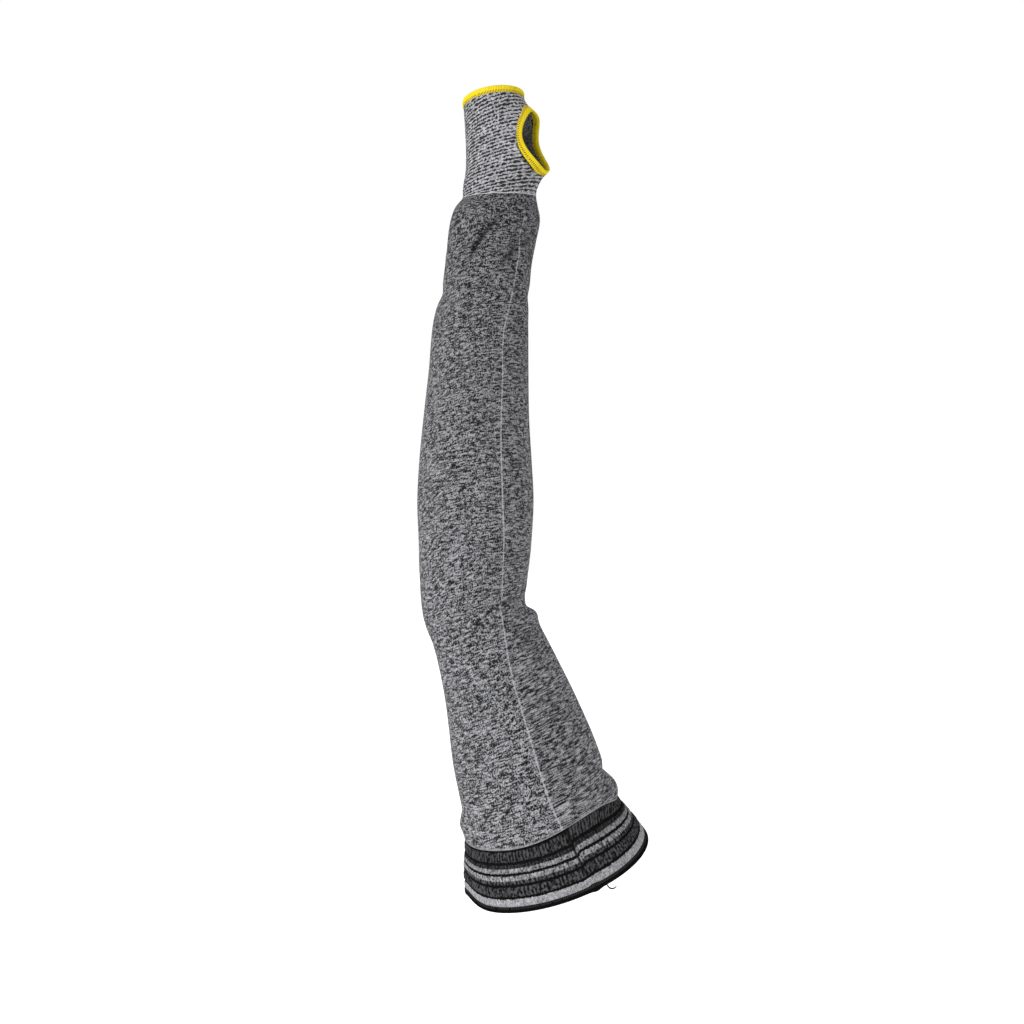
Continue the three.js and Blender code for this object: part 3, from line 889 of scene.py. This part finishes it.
def thumb_edge(share_round, share_along, out):
    turn = 2 * math.pi * share_round
    past, lift = hem_profile(2 * math.pi * share_along, THUMB_HEM_LENGTH, CUFF_WALL, out)
    past *= 1 - 0.32 * np.clip(-np.sin(turn), 0, 1) ** 2
    rise = (OPENING_HEIGHT / 2 - past) * np.sin(turn)
    slant = -OPENING_SLANT * rise / (OPENING_HEIGHT / 2)
    along = (OPENING_ACROSS / 2 - past) * np.cos(turn) - slant
    return sleeve_points(THUMB_HEIGHT + rise, THUMB_BEARING + along / THUMB_RADIUS, lift)


# Thread colours: over the stitches, painted shade between them, and the slits.
yellow = overlock_thread(
    "yellow_overlock", (0.70, 0.56, 0.02, 1), (0.50, 0.39, 0.012, 1), (0.13, 0.05, 0.02, 1),
)
hand_hem = hem_ring(
    "hand_hem_thread", stitches=122, columns_each=8, edge_points=hand_edge, radius=30,
)
hand_hem.data.materials.append(yellow)
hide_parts("hand_hem")
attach(hand_hem, "root")
thumb_hem = hem_ring(
    "thumb_hem_thread", stitches=116, columns_each=6, edge_points=thumb_edge, radius=24,
)
thumb_hem.data.materials.append(yellow)
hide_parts("thumb_hem")
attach(thumb_hem, "root")

# Pale floor, well below the sleeve.
bpy.ops.mesh.primitive_plane_add(size=60, location=(0, 0, -0.42))
floor = bpy.context.object
floor.name = "studio_floor"
white = bpy.data.materials.new("studio_white")
white.use_nodes = True
paint = white.node_tree.nodes["Principled BSDF"]
paint.inputs["Base Color"].default_value = (0.85, 0.85, 0.85, 1)
paint.inputs["Roughness"].default_value = 0.9
paint.inputs["Emission Color"].default_value = (1, 1, 1, 1)
paint.inputs["Emission Strength"].default_value = 0.45
floor.data.materials.append(white)

# Even white surroundings with one large soft light from the left.
world = bpy.data.worlds.new("studio")
world.use_nodes = True
world.node_tree.nodes["Background"].inputs[0].default_value = (1, 1, 1, 1)
world.node_tree.nodes["Background"].inputs[1].default_value = 1.0
bpy.context.scene.world = world
bpy.context.scene.view_settings.view_transform = "Standard"


def soft_light(name, place, aim, size, power):
    bpy.ops.object.light_add(type="AREA", location=place)
    lamp = bpy.context.object
    lamp.name = name
    lamp.data.shape = "DISK"
    lamp.data.size = size
    lamp.data.energy = power
    toward = np.array(aim) - np.array(place)
    level = math.hypot(toward[0], toward[1])
    lamp.rotation_euler = (
        math.pi / 2 + math.atan2(toward[2], level), 0, math.atan2(-toward[0], toward[1]),
    )


soft_light("key_light", place=(-1.9, -1.5, 1.4), aim=(0, 0, 0.25), size=1.2, power=46)

# Camera level with the middle of the sleeve.
bpy.ops.object.camera_add(location=(-0.03236, -2.035, 0.2533), rotation=(math.pi / 2, 0, 0))
camera = bpy.context.object
camera.name = "photo_camera"
camera.data.sensor_width = 36
camera.data.lens = 99.49
bpy.context.scene.camera = camera
